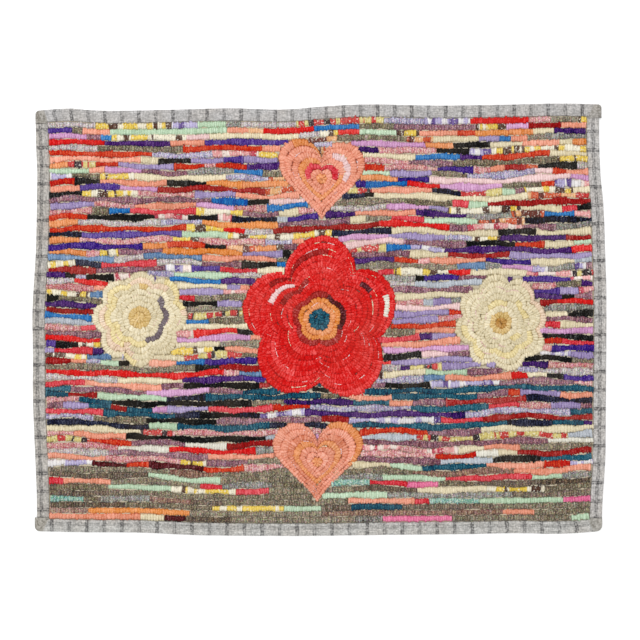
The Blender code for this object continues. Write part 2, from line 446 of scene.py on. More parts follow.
# The basket of rags, by cloth, with each dye from 0 to 255. A tweed has its ground first, then its light
# fleck and its dark one. The last five jerseys are for the motifs alone.
BASKET = {
    "jersey": {
        "flame": [(208, 62, 22)], "red": [(226, 42, 40)], "brick": [(165, 30, 26)],
        "maroon": [(92, 16, 28)], "coral": [(222, 74, 84)], "salmon": [(242, 164, 138)],
        "peach": [(236, 156, 104)], "orange": [(235, 150, 84)], "mint": [(198, 222, 192)],
        "violet": [(78, 34, 112)], "indigo": [(82, 54, 142)], "black": [(6, 6, 6)], "navy": [(20, 28, 58)],
        "teal": [(24, 92, 112)], "blue": [(50, 126, 192)], "steel": [(116, 146, 182)],
        "lavender": [(169, 153, 195)], "orchid": [(216, 164, 206)], "powder": [(242, 208, 206)],
        "rose": [(240, 132, 170)], "cream": [(235, 222, 189)], "milk": [(235, 231, 217)],
        "mist": [(188, 194, 202)], "butter": [(240, 222, 168)], "blush": [(242, 216, 190)],
        "straw": [(222, 190, 128)], "ochre": [(196, 148, 84)], "ash_jersey": [(128, 116, 122)],
    },
    "tweed": {
        "moss_tweed": [(126, 115, 95), (192, 178, 150), (64, 54, 46)],
        "plum_tweed": [(138, 86, 104), (204, 164, 166), (78, 40, 64)],
        "russet_tweed": [(138, 104, 90), (202, 166, 140), (84, 46, 42)],
        "rose_tweed": [(216, 146, 144), (246, 226, 218), (172, 62, 84)],
        "lilac_tweed": [(180, 171, 200), (236, 231, 232), (104, 92, 142)],
        "pearl_tweed": [(196, 186, 184), (242, 236, 228), (132, 112, 118)],
        "peat_tweed": [(100, 84, 70), (170, 150, 124), (46, 38, 34)],
        "ash_tweed": [(144, 141, 134), (206, 202, 194), (88, 84, 82)],
        "sea_tweed": [(150, 196, 180), (226, 236, 220), (40, 118, 112)],
    },
    "print": {
        "yellow_print": [(240, 208, 90), (246, 238, 214), (92, 62, 42)],
        "lilac_print": [(186, 176, 214), (238, 234, 234), (104, 80, 148)],
        "rose_print": [(236, 168, 166), (244, 226, 216), (198, 72, 92)],
        "rust_print": [(208, 92, 52), (240, 186, 136), (110, 46, 30)],
        "red_print": [(204, 60, 56), (222, 206, 132), (48, 30, 34)],
    },
}
Rag = namedtuple("Rag", "cloth dyes")
RAGS = {}
for cloth, rags in BASKET.items():
    for rag, dyes in rags.items():
        RAGS[rag] = Rag(cloth, [dye(*seen) for seen in dyes])

# The mix of rags changes down the rug, and so does the usual length of a rag, in loops. A rag with 1 in
# the mix is an odd piece, and shorter.
Zone = namedtuple("Zone", "last_row usual_loops mix")
ZONES = [
    Zone(22, 14, {
        "flame": 9, "salmon": 10, "coral": 4, "peach": 6, "red": 3, "brick": 3, "violet": 6, "indigo": 3,
        "orchid": 4, "lavender": 3, "mint": 4, "blue": 4, "black": 5, "navy": 2, "cream": 6, "orange": 2,
        "mist": 1, "powder": 3, "yellow_print": 7, "lilac_print": 2, "rose_print": 4, "rust_print": 3,
        "red_print": 2, "moss_tweed": 7, "plum_tweed": 7, "ash_tweed": 2, "rose_tweed": 6,
        "lilac_tweed": 5, "pearl_tweed": 5,
    }),
    Zone(44, 14, {
        "lavender": 6, "steel": 5, "blue": 4, "black": 9, "indigo": 4, "violet": 6, "cream": 9, "mint": 4,
        "red": 4, "coral": 5, "flame": 5, "brick": 3, "mist": 5, "salmon": 6, "orchid": 4, "navy": 2,
        "powder": 2, "rose_print": 3, "lilac_print": 2, "yellow_print": 3, "red_print": 2, "moss_tweed": 10,
        "ash_tweed": 5, "plum_tweed": 8, "rose_tweed": 4, "lilac_tweed": 5, "pearl_tweed": 5,
    }),
    Zone(52, 18, {
        "teal": 30, "navy": 7, "black": 5, "lavender": 5, "coral": 5, "violet": 4, "flame": 4, "salmon": 5,
        "brick": 3, "mint": 3, "orchid": 5, "lilac_print": 3, "moss_tweed": 6, "plum_tweed": 8,
        "rose_tweed": 4, "lilac_tweed": 3, "pearl_tweed": 2,
    }),
    Zone(59, 24, {
        "flame": 12, "mist": 8, "orchid": 3, "salmon": 9, "milk": 6, "cream": 9, "brick": 4, "maroon": 2,
        "red": 2, "teal": 3, "navy": 4, "black": 2, "mint": 1, "red_print": 5, "yellow_print": 4,
        "lilac_print": 2, "rose_print": 3, "rose_tweed": 5, "plum_tweed": 9, "moss_tweed": 6, "ash_tweed": 4,
        "pearl_tweed": 4,
    }),
    Zone(ROWS - 1, 18, {
        "moss_tweed": 38, "ash_tweed": 7, "sea_tweed": 4, "russet_tweed": 10, "peat_tweed": 10, "mint": 6,
        "coral": 4, "cream": 2, "rose": 2, "orange": 2, "salmon": 4, "yellow_print": 6, "maroon": 2,
        "mist": 1, "teal": 1,
    }),
]
SHORTEST_RAG, LONGEST_RAG = 3, 70
SHORT_SHARE = 0.5
LENGTH_SPREAD = 0.6

# A rag much like one that it would touch is picked that much less often, unless that one is plentiful. Two
# rags are alike when their dyes differ by less than a number of steps of wear in all.
REPEAT_SHARE = 0.2
PLENTIFUL = 20
ALIKE = 0.35

# A rag in its row has three spots for each loop: one in the dip before it and two on its crest.
SPOTS = 3
Hooked = namedtuple("Hooked", "rag first x y half")


def alike(first, second):
    """Whether two rags have much the same colour."""
    bent = (np.array(RAGS[rag].dyes[0]) ** (1 / WEAR_AND_SHADE_CURVE) for rag in (first, second))
    return np.abs(np.subtract(*bent)).sum() < ALIKE


def pick_rag(mix, beside):
    """A rag from the basket, as likely as the mix says, but seldom like a scarce one beside it."""
    scarce = [rag for rag in beside if mix.get(rag, 0) < PLENTIFUL]
    repeats = [any(alike(rag, other) for other in scarce) for rag in mix]
    weights = np.array(list(mix.values())) * np.where(repeats, REPEAT_SHARE, 1)
    return list(mix)[luck.choice(len(mix), p=weights / weights.sum())]


def hook_row(x, y, half, room, usual_loops, mix, above=()):
    """Lays rags end to end along a row, wherever there is room for them, with an eye to the row above."""
    laid = []
    start = 0
    while start < len(room):
        if not room[start]:
            start += 1
            continue
        limit = start + int(np.argmin(np.append(room[start:], False))) - 1
        reach = start + SPOTS * usual_loops
        touching = [other for other in above if other.first < reach and other.first + len(other.x) > start]
        rag = pick_rag(mix, {other.rag for other in touching})
        usual = usual_loops if mix[rag] > 1 else usual_loops * SHORT_SHARE
        loops = int(usual * math.exp(luck.normal(0, LENGTH_SPREAD)))
        end = start + SPOTS * min(max(loops, SHORTEST_RAG), LONGEST_RAG)
        if end > limit - SPOTS * SHORTEST_RAG:
            end = limit
        if end > start + 1:
            spots = slice(start, end + 1)
            laid.append(Hooked(rag, start, x[spots], y[spots], half[spots]))
        start = end if end < limit else limit + 1
    return laid


def loop_spots(loops):
    """Where the spots of some loops lie along their row, from 0 to 1. No two loops are alike."""
    ends = np.concatenate([[0], np.cumsum(luck.lognormal(0, LOOP_VARY, loops))])
    return np.interp(np.arange(SPOTS * loops + 1) / SPOTS, np.arange(loops + 1), ends / ends[-1])


rows = []
luck = np.random.default_rng(seed=224)
for row in range(ROWS):
    up = 1 - (row + 0.5) / ROWS
    loops = ROW_LOOPS + int(luck.integers(-ROW_LOOPS_VARY, ROW_LOOPS_VARY + 1))
    ends = luck.uniform(-ROW_END_VARY, ROW_END_VARY, 2) / (RIGHT[1][0] - LEFT[1][0])
    across = ends[0] + (1 + ends[1] - ends[0]) * loop_spots(loops)
    row_x, row_y = row_place(across, up)
    half = (row_place(across, up + 0.5 / ROWS)[1] - row_place(across, up - 0.5 / ROWS)[1]) / 2 * ROW_FILL
    room = ~np.any([inside(motif, row_x, row_y, MOTIF_CLEARANCE) for motif in MOTIFS], axis=0)
    zone = next(zone for zone in ZONES if row <= zone.last_row)
    above = rows[-1] if rows else ()
    rows.append(hook_row(row_x, row_y, half, room, zone.usual_loops, zone.mix, above))


def ring_table(hooked):
    """The rings of a rag's sleeve from end to end, one to a row. make_pile names the columns."""
    spots = hooked.first + np.arange(len(hooked.x))
    loop = spots // SPOTS - spots[0] // SPOTS
    crest = spots % SPOTS > 0
    along = np.array([np.gradient(hooked.x), np.gradient(hooked.y)])
    along = along / np.hypot(*along)

    def vary(amount, on_dips=DIP_VARIES):
        """A random amount for each loop, and a share of it for the loop's dip."""
        return luck.normal(0, amount, loop[-1] + 1)[loop] * np.where(crest, 1, on_dips)

    stand = SLIVER_STAND + (1 - SLIVER_STAND) * np.minimum(hooked.half / FULL_HALF, 1)
    top = np.where(crest, CREST, VALLEY) * stand + vary(HEIGHT_VARY)
    width = np.where(crest, 1, VALLEY_WIDTH)
    fullness = hooked.half * luck.uniform(*RAG_FULLNESS)
    left, right = fullness * (width + vary(WIDTH_VARY)), fullness * (width + vary(WIDTH_VARY))
    spread = CREST_SPREAD * np.choose(spots % SPOTS, (0, -1, 1))
    lean, slide = vary(LEAN_VARY, DIP_LEANS), spread + vary(SLIDE_VARY, DIP_SLIDES)
    # Random wear from rag to rag and from loop to loop, plus a painted highlight on each crest and painted
    # shade in each dip.
    step = luck.normal(0, RAG_STEP) + vary(LOOP_STEP) + np.where(crest, *CREST_HIGHLIGHT_DIP_SHADE[RAGS[hooked.rag].cloth])
    parts = [hooked.x, hooked.y, *along, top, left, right, lean, slide, step, np.ones(len(spots))]
    table = np.pad(np.array(parts).T, ((1, 1), (0, 0)), mode="edge")
    table[[0, -1], -1] = 0
    return table


def rag_dyes(hooked):
    """The colours of each ring by their layer. A print has its three in patches, and a tweed mixes them."""
    rag = RAGS[hooked.rag]
    spots = len(hooked.x)
    picks = np.zeros(spots, int)
    if rag.cloth == "print":
        start = 0
        while start < spots:
            end = start + int(luck.integers(*PRINT_PATCH))
            picks[start:end] = luck.choice(3, p=PRINT_SHARES)
            start = end
    dyes = {"rag_colour": np.array(rag.dyes)[np.pad(picks, 1, mode="edge")]}
    if rag.cloth == "tweed":
        share = np.repeat(luck.uniform(0, YARN_VARY, (spots + 2) // SPOTS + 1), SPOTS)[:spots + 2, None]
        other = np.repeat(luck.integers(1, 3, (spots + 2) // SPOTS + 1), SPOTS)[:spots + 2]
        dyes["rag_colour"] = dyes["rag_colour"] * (1 - share) + np.array(rag.dyes)[other] * share
        dyes["light_fleck"] = np.tile(rag.dyes[1], (spots + 2, 1))
        dyes["dark_fleck"] = np.tile(rag.dyes[2], (spots + 2, 1))
    return dyes


SHELF_GAP, SHEET_EDGE = 0.03, 0.005
SAME_PLACE = 0.002 * MM


def bake_places(counts):
    """The flat place of each point of the sleeves, laid side by side on the shelves of a square sheet."""
    sides = len(SECTION) - 1
    shelf_count = max(1, round(math.sqrt(sum(counts) / (2 * sides))))
    room = sum(counts) / shelf_count + max(counts)
    places = []
    along, shelf = 0, 0
    for count in counts:
        if along + count > room:
            along, shelf = 0, shelf + 1
        rings = (along + np.arange(count)) / (room + 1)
        on_shelf = SHELF_GAP + (1 - 2 * SHELF_GAP) * np.arange(sides + 1) / sides
        rounds = (shelf + on_shelf) / (shelf_count + 1)
        places.append(np.stack(np.broadcast_arrays(rings[:, None], rounds), axis=-1).reshape(-1, 2))
        along += count + 1
    places = np.concatenate(places)
    return places / places.max(axis=0) * (1 - 2 * SHEET_EDGE) + SHEET_EDGE


def make_pile(name, hooked_rags, finish):
    """Rags of one cloth as one piece: a long grid wrapped into sleeves, cut where each rag ends."""
    tables = [ring_table(hooked) for hooked in hooked_rags]
    rings = np.concatenate(tables)
    x, y, along_x, along_y, top, left, right, lean, slide, step, is_open = rings.T[:, :, None]
    counts = [len(table) for table in tables]
    across, height, flank_shade_step = np.array(SECTION).T

    out = across * np.where(across > 0, left, right) * is_open
    ahead = slide + lean * across
    points_x = x + along_x * ahead - along_y * out
    points_y = y + along_y * ahead + along_x * out
    points_z = RAG_BACK + (top - RAG_BACK) * (0.5 + (height - 0.5) * is_open)
    points = np.stack([points_x, points_y, points_z], axis=-1).reshape(-1, 3)
    baked = bake_places(counts)

    pile = bmesh.new()
    sides = len(SECTION) - 1
    bmesh.ops.create_grid(pile, x_segments=sides, y_segments=len(rings) - 1, size=1)
    dyes = [rag_dyes(hooked) for hooked in hooked_rags]
    layers = {layer: pile.verts.layers.float_color.new(layer) for layer in dyes[0]}
    bake_map = pile.loops.layers.uv.new("OFBake")
    pile.verts.index_update()
    for vertex, point in zip(pile.verts, points):
        vertex.co = point
    # Every layer of a ring takes its steps: random wear, the painted highlight or painted shade of crests
    # and dips, and the painted shade of the flanks.
    for layer, stored in layers.items():
        plain = np.concatenate([by_layer[layer] for by_layer in dyes])
        bent = plain[:, None, :] ** (1 / WEAR_AND_SHADE_CURVE) + (step + flank_shade_step)[:, :, None]
        stepped = np.maximum(bent, 0) ** WEAR_AND_SHADE_CURVE
        for vertex, colour in zip(pile.verts, stepped.reshape(-1, 3)):
            vertex[stored] = (*colour, 1)
    for face in pile.faces:
        for corner in face.loops:
            corner[bake_map].uv = baked[corner.vert.index]
    pile.faces.ensure_lookup_table()
    ends = np.cumsum(counts)[:-1]
    joins = [pile.faces[(end - 1) * sides + side] for end in ends for side in range(sides)]
    bmesh.ops.delete(pile, geom=joins, context="FACES")
    bmesh.ops.remove_doubles(pile, verts=pile.verts, dist=SAME_PLACE)
    bmesh.ops.recalc_face_normals(pile, faces=pile.faces)
    made = new_piece(name, pile, finish)
    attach(made, "root")
    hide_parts("field")
    return made


Clouds = namedtuple("Clouds", "size detail within strength")
DIRT_CLOUDS = Clouds(60 * MM, 4, (0.42, 0.72), (0.0, 0.1))
DIRT = dye(150, 132, 110)


def soiled(finish, colour, place):
    """The dull film that a rug gathers on its loops, in soft clouds."""
    return finish.mix(finish.clouds(place, DIRT_CLOUDS), colour, DIRT)


def ring_colour(finish, layer):
    """A colour that each ring of a rag keeps of its own, with the painted highlights and painted shade of
    its loops.
    """
    return finish.node("ShaderNodeAttribute", {"attribute_name": layer}, {}, "Color")


# Worn jersey fades in small clouds and along the ribs of its knit, each between two steps of wear.
FADE_CLOUDS = Clouds(7 * MM, 3, (0.3, 0.7), (-0.045, 0.035))
KNIT_RIB, KNIT_RANGE, KNIT_STEPS = 2.3 * MM, (0.34, 0.66), (-0.1, 0.075)
KNIT_RELIEF = 0.6 * MM


def jersey():
    """Worn cotton jersey: soft and dull, with the uneven ribs of its knit."""
    even_values = {"Roughness": 0.9, "Specular IOR Level": 0.2, "Sheen Weight": 0.08, "Sheen Roughness": 0.4}
    finish = Finish("jersey", even_values)
    place = finish.place()
    knit = finish.speckle(place, KNIT_RIB, 4)
    step = finish.clouds(place, FADE_CLOUDS) + finish.ease(knit, *KNIT_RANGE, *KNIT_STEPS)
    colour = finish.stepped(ring_colour(finish, "rag_colour"), step)
    finish.paint(soiled(finish, colour, place), knit, KNIT_RELIEF)
    return finish


# Tweed's yarns show as light flecks and dark flecks, with coloured lint caught all over its hairy face.
YARN, HAIR, LINT = 2.1 * MM, 0.7 * MM, 3.2 * MM
LIGHT_FLECKS, LIGHT_MOST = (0.52, 0.66), 0.8
DARK_FLECKS, DARK_MOST = (0.48, 0.34), 0.85
LINT_SHARE = 0.55
HAIR_RELIEF = 0.35 * MM


def tweed():
    """Tweed: a woollen cloth of mixed yarns, flecked light and dark, with a hairy face."""
    finish = Finish("tweed", {"Roughness": 0.95, "Sheen Weight": 0.2, "Sheen Roughness": 0.5})
    place = finish.place()
    yarn = finish.speckle(place, YARN, 2)
    hair = finish.speckle(place, HAIR, 2)
    light = finish.ease(yarn, *LIGHT_FLECKS, 0.0, LIGHT_MOST)
    dark = finish.ease(yarn, *DARK_FLECKS, 0.0, DARK_MOST)
    colour = finish.mix(light, ring_colour(finish, "rag_colour"), ring_colour(finish, "light_fleck"))
    colour = finish.mix(dark, colour, ring_colour(finish, "dark_fleck"))
    lint = finish.node("ShaderNodeTexNoise", {}, {"Vector": place, "Scale": 1 / LINT, "Detail": 2}, "Color")
    colour = finish.mix(LINT_SHARE, colour, lint, "OVERLAY")
    finish.paint(soiled(finish, colour, place), hair, HAIR_RELIEF)
    return finish


# A print's small figures, pale ones and dark ones, and the creases of the thin cloth.
FIGURE, CREASE = 3.4 * MM, 1.1 * MM
PALE_INK, PALE_FIGURES, PALE_MOST = dye(244, 240, 228), (0.6, 0.66), 0.75
DARK_INK, DARK_FIGURES, DARK_FIGURE_MOST = dye(120, 92, 96), (0.36, 0.3), 0.6
CREASE_RELIEF = 0.3 * MM


def printed_cotton():
    """Printed cotton: thin plain-woven cloth, whose figures are broken up by the loops."""
    finish = Finish("printed_cotton", {"Roughness": 0.85, "Sheen Weight": 0.1})
    place = finish.place()
    figure = finish.speckle(place, FIGURE, 1)
    crease = finish.speckle(place, CREASE, 3)
    pale = finish.ease(figure, *PALE_FIGURES, 0.0, PALE_MOST)
    dark = finish.ease(figure, *DARK_FIGURES, 0.0, DARK_FIGURE_MOST)
    colour = finish.mix(pale, ring_colour(finish, "rag_colour"), PALE_INK)
    colour = finish.mix(dark, colour, DARK_INK)
    finish.paint(soiled(finish, colour, place), crease, CREASE_RELIEF)
    return finish


# The pieces of the rows: the cloth of each, its first row and its last.
PILES = {
    "jersey_rags_upper": ("jersey", 0, 18),
    "jersey_rags_middle": ("jersey", 19, 39),
    "jersey_rags_lower": ("jersey", 40, ROWS - 1),
    "tweed_rags_upper": ("tweed", 0, 44),
    "tweed_rags_lower": ("tweed", 45, ROWS - 1),
    "print_rags": ("print", 0, ROWS - 1),
}
FINISHES = {"jersey": jersey(), "tweed": tweed(), "print": printed_cotton()}
for name, (cloth, first_row, last_row) in PILES.items():
    laid = sum(rows[first_row:last_row + 1], [])
    of_cloth = [hooked for hooked in laid if RAGS[hooked.rag].cloth == cloth]
    make_pile(name, of_cloth, FINISHES[cloth])


# ----------------------------
# The motifs. A red rosette, two cream daisies and two salmon hearts, each hooked in rows that follow its
# outline from the edge to the middle, fuller than the field's, in jersey rags with a few odd pieces.

# A motif's rows: the length of a loop, the fewest in a row, how much more than its share of the width a
# row fills, a rag's usual loops, and how far the rows sway, some numbers of times round.
MOTIF_LOOP = 4.7 * MM
FEWEST_LOOPS = 5
MOTIF_FILL = 1.3
MOTIF_RAG_LOOPS = 16
MOTIF_SWAY = 0.035
MOTIF_SWAYS = (4, 7, 11)

# Slivers of pale rag between a motif's rows: their mix, how long each is, how much of the width it fills,
# and the share of the way round that has one.
SLIVERS = {"powder": 2, "cream": 1}
SLIVER_LOOPS = 3
SLIVER_FILL = 0.22
SLIVER_SHARE = 0.16

# For each kind of motif, the mix of rags in its rows from the outside in.
MOTIF_ROWS = {
    "rosette": [
        {"red": 30, "coral": 1}, {"red": 20, "milk": 1}, {"red": 20, "brick": 3}, {"red": 10, "maroon": 3},
        {"red": 20, "powder": 1}, {"red": 20, "milk": 1, "coral": 1}, {"red": 9, "brick": 3},
        {"red": 20, "flame": 2}, {"red": 12, "coral": 1, "powder": 1}, {"maroon": 6, "brick": 2},
        {"orange": 8, "peach": 1}, {"orange": 5, "peach": 3}, {"teal": 6, "steel": 1},
        {"teal": 2, "steel": 1},
    ],
    "daisy": [
        {"cream": 3, "blush": 1, "butter": 1}, {"cream": 4, "butter": 1, "blush": 1},
        {"cream": 4, "blush": 1, "butter": 1, "straw": 1}, {"cream": 4, "butter": 1, "ash_jersey": 1},
        {"cream": 3, "blush": 1, "butter": 1}, {"cream": 3, "straw": 1, "blush": 1},
        {"straw": 4, "ochre": 3}, {"ochre": 2, "straw": 1},
    ],
    "heart": [
        {"salmon": 9, "peach": 2}, {"salmon": 8, "peach": 3}, {"salmon": 9, "powder": 1, "peach": 2},
        {"peach": 5, "salmon": 5}, {"salmon": 12, "coral": 1}, {"salmon": 6, "peach": 3},
        {"coral": 2, "peach": 2},
    ],
}


def hook_ring(motif, share, fill, mix, room_share=1.0):
    """One row of a motif: its outline drawn in to a share of its size, where its petals are shallower.

    The step from row to row is how fast the reach grows with the share, over the number of rows.
    """
    middle = motif.reach.mean()
    petals = (motif.reach - middle) * share ** 0.5
    sway = sum(np.sin(waves * TURNS + luck.uniform(0, math.tau)) for waves in MOTIF_SWAYS)
    reach = (middle + petals) * (share + MOTIF_SWAY / motif.rows * sway)
    outline_x, outline_y = reach * np.cos(TURNS), reach * np.sin(TURNS)
    lengths = np.concatenate([[0], np.cumsum(np.hypot(np.diff(outline_x), np.diff(outline_y)))])
    loops = max(round(lengths[-1] / MOTIF_LOOP), FEWEST_LOOPS)
    spots = lengths[-1] * (loop_spots(loops) + luck.uniform(0, 1))
    x, y, step = (
        np.interp(spots, lengths, values, period=lengths[-1])
        for values in (outline_x, outline_y, (middle + 1.5 * petals) / motif.rows)
    )
    steepness = np.abs(x * np.gradient(y) - y * np.gradient(x)) / np.hypot(np.gradient(x), np.gradient(y))
    half = step * steepness / np.hypot(x, y) / 2 * fill
    stretches = luck.random(loops // SLIVER_LOOPS + 1) < room_share
    room = np.repeat(stretches, SLIVER_LOOPS * SPOTS)[:len(spots)]
    return hook_row(motif.x + x, motif.y + y, half, room, MOTIF_RAG_LOOPS, mix)


def hook_motif(motif):
    """A motif's rags from the outside in, with broken slivers between its rows."""
    laid = []
    for ring, mix in enumerate(MOTIF_ROWS[motif.kind]):
        laid += hook_ring(motif, (motif.rows - ring - 0.5) / motif.rows, MOTIF_FILL, mix)
        if 0 < ring < motif.rows - 2:
            edge = (motif.rows - ring) / motif.rows
            laid += hook_ring(motif, edge, SLIVER_FILL, SLIVERS, SLIVER_SHARE)
    return laid


for kind in ("rosette", "daisy", "heart"):
    hooked = [rag for motif in MOTIFS if motif.kind == kind for rag in hook_motif(motif)]
    make_pile(kind + "_rags", hooked, FINISHES["jersey"])


# ----------------------------
# The binding. Four strips of light cotton cloth with a windowpane check, folded over the rug's edge and
# sewn down in front and behind. The long strips' ends lap over the short strips at the corners, as
# blocks that stand a little proud.

# The folded strips: the cloth's thickness and the turning inside each hem, how far apart the folds in
# section lie along a strip and in its corners, and the height of the edge.
BINDING_CLOTH = 0.5 * MM
TURNING = 7 * MM
STATION = 4 * MM
CORNER_STATION = 1.8 * MM
EDGE_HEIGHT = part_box("binding_left")[1].z
MID_HEIGHT = EDGE_HEIGHT / 2

# The laps: how far from its end a long strip starts to turn the corner, how long the block there is, how
# high it stands, and how soiled the left blocks and the right ones are.
FAN = 46 * MM
BLOCK_LENGTH = 34 * MM
BLOCK_RISE = 0.9 * MM
LEFT_SOILED, RIGHT_SOILED = 1, 0.7

# The hems wobble, the fold a share of that, and the front face puckers. The side strips wobble, and the
# fronts pucker, in a layer of the noise of their own. Shares past the first are hems, and heights past the
# second are the front face.
EDGE_WOBBLE, WOBBLE_LENGTH, FOLD_WOBBLES = 0.7 * MM, 26 * MM, 0.3
PUCKER, PUCKER_LENGTH, PUCKERS_ACROSS = 0.3 * MM, 11 * MM, 3
SIDE_LAYER, PUCKER_LAYER = 3, 7
HEMS_FROM, FRONT_FROM = 0.9, 0.7

# Across the folded cloth, from its raw edge under the front hem to the one behind: a share of the way
# from the fold to the hem and a distance further, and a share of the edge's height and a lift.
FoldSpot = namedtuple("FoldSpot", "share further height lift")
FOLD = [FoldSpot(*spot) for spot in (
    (1, -TURNING, 1, -1.35 * MM),
    (1, -0.9 * MM, 1, -1.35 * MM),
    (1, 0, 1, -0.7 * MM),
    (1, -0.8 * MM, 1, -0.1 * MM),
    (1, -2.4 * MM, 1, -0.35 * MM),
    (1, -4.2 * MM, 1, 0),
    (0.66, 0, 1, 0.1 * MM),
    (0.48, 0, 1, 0.15 * MM),
    (0.3, 0, 1, 0.1 * MM),
    (0, 3.8 * MM, 1, 0),
    (0, 2.1 * MM, 0.96, 0),
    (0, 0.8 * MM, 0.83, 0),
    (0, 0.15 * MM, 0.66, 0),
    (0, 0, 0.5, 0),
    (0, 0.15 * MM, 0.34, 0),
    (0, 0.8 * MM, 0.17, 0),
    (0, 2.1 * MM, 0.04, 0),
    (0, 4.5 * MM, 0, 0),
    (0.5, 0, 0, 0),
    (1, -4.5 * MM, 0, 0),
    (1, -0.9 * MM, 0, 0.05 * MM),
    (1, 0, 0, 0.65 * MM),
    (1, -0.9 * MM, 0, 1.3 * MM),
    (1, -TURNING, 0, 1.3 * MM),
)]


def smooth_route(points):
    """A smooth line through plan points, with its stations closer together round a corner.

    Between two points it's a cubic Hermite curve, which leaves and arrives as the points beside them lie.
    """
    route = []
    for index, (start, end) in enumerate(zip(points, points[1:])):
        before, after = points[max(index - 1, 0)], points[min(index + 2, len(points) - 1)]
        leave = (end - before) * (end - start).length / max((end - before).length, MM)
        arrive = (after - start) * (end - start).length / max((after - start).length, MM)
        length = (end - start).length
        steps = math.ceil(length / (CORNER_STATION if length < STRIP_WIDTH else STATION))
        for step in range(steps):
            part = step / steps
            curve = start * (2 * part**3 - 3 * part**2 + 1) + end * (3 * part**2 - 2 * part**3)
            route.append(curve + leave * (part**3 - 2 * part**2 + part) + arrive * (part**3 - part**2))
    return route + [points[-1]]


def route_lengths(route):
    """How far along the route each of its stations lies."""
    lengths = [0]
    for start, end in zip(route, route[1:]):
        lengths.append(lengths[-1] + (end - start).length)
    return lengths


def inner_route(outer, inward, laps):
    """The binding's inner edge: straight in from its fold, but fanned round the corner of a lapped end."""
    inner = [point + inward * STRIP_WIDTH for point in outer]
    if not laps:
        return inner
    lengths = route_lengths(outer)
    for end, far in ((0, 0), (-1, lengths[-1])):
        corner_x, corner_y = outer[end]
        side_x = np.interp(corner_y, *(LEFT if corner_x < 0 else RIGHT))
        corner = Vector((side_x - math.copysign(STRIP_WIDTH, side_x), corner_y))
        fan = [at for at, length in enumerate(lengths) if abs(length - far) < FAN]
        last = fan[-1] if end == 0 else fan[0]
        start = inner[last].copy()
        for at in fan:
            inner[at] = corner.lerp(start, abs(lengths[at] - far) / FAN)
    return inner


# Each strip: which way its inner edge lies, whether its ends lap, the side that it follows and the axis of
# that, how far apart the bars of its check are, where a dark bar lies each way, and its ground.
Strip = namedtuple("Strip", "node inward laps side along bar_apart cross_bar long_bar tint")
STRIPS = [
    Strip("binding_top", (0, -1), True, TOP, 0, 29.9 * MM, -137.2 * MM, -4.0 * MM, dye(190, 188, 187)),
    Strip("binding_bottom", (0, 1), True, BOTTOM, 0, 30.7 * MM, 22.2 * MM, 47.0 * MM, dye(199, 198, 194)),
    Strip("binding_left", (1, 0), False, LEFT, 1, 31.7 * MM, 174.3 * MM, 10.6 * MM, dye(190, 186, 180)),
    Strip("binding_right", (-1, 0), False, RIGHT, 1, 32.4 * MM, -91.3 * MM, 13.5 * MM, dye(200, 197, 194)),
]


# The cloth of the binding: painted shade between its threads, its slubs both ways, its grain and its age.
CHECK_THREAD, THREAD_SHADE_TONES = 0.9 * MM, (0.88, 1.05)
SLUB_LENGTH, SLUB_BREADTH, SLUB_DEPTH = 14 * MM, 1.3 * MM, 5 * MM
SLUB_ALONG, SLUB_ACROSS = 0.65, 0.35
SLUB_RANGE, SLUB_TONES = (0.38, 0.62), (0.7, 1.2)
GRAIN, GRAIN_RANGE, GRAIN_TONES = 3 * MM, (0.3, 0.7), (1.3, 0.7)
AGED_CLOTH, AGE_CLOUDS = dye(186, 172, 156), Clouds(45 * MM, 3, (0.4, 0.75), (0.0, 0.3))
THREAD_RELIEF, SLUB_RELIEF, CLOTH_RELIEF = 0.6, 0.4, 0.2 * MM

# Its check: how far the bars waver, where a bar's ink fades out at its edge and thins along its middle, and
# how strong the dark bars and the pale ones are, across the strip and along it. The ink is mottled.
WAVER, WAVER_CLOUD = 1.6 * MM, 14 * MM
BAR_EDGE = (3.9 * MM, 2.1 * MM)
BAR_MIDDLE, MIDDLE_INK = (0.3 * MM, 1.6 * MM), 0.65
CROSS_INKS, LONG_INKS = (0.74, 0.52), (0.56, 0.3)
DARK_BAR_UNTIL, PALE_BAR_FROM = 0.4, 0.6
MOTTLE_RANGE, MOTTLE = (0.34, 0.66), (0.5, 1.3)
INK = dye(54, 52, 54)

# The soiled blocks at the corners: an even film and dark smudges on it.
FILM, FILM_SHARE = dye(158, 150, 134), 0.5
SMUDGE, SMUDGES = dye(86, 82, 70), Clouds(5 * MM, 3, (0.5, 0.62), (0.0, 0.6))


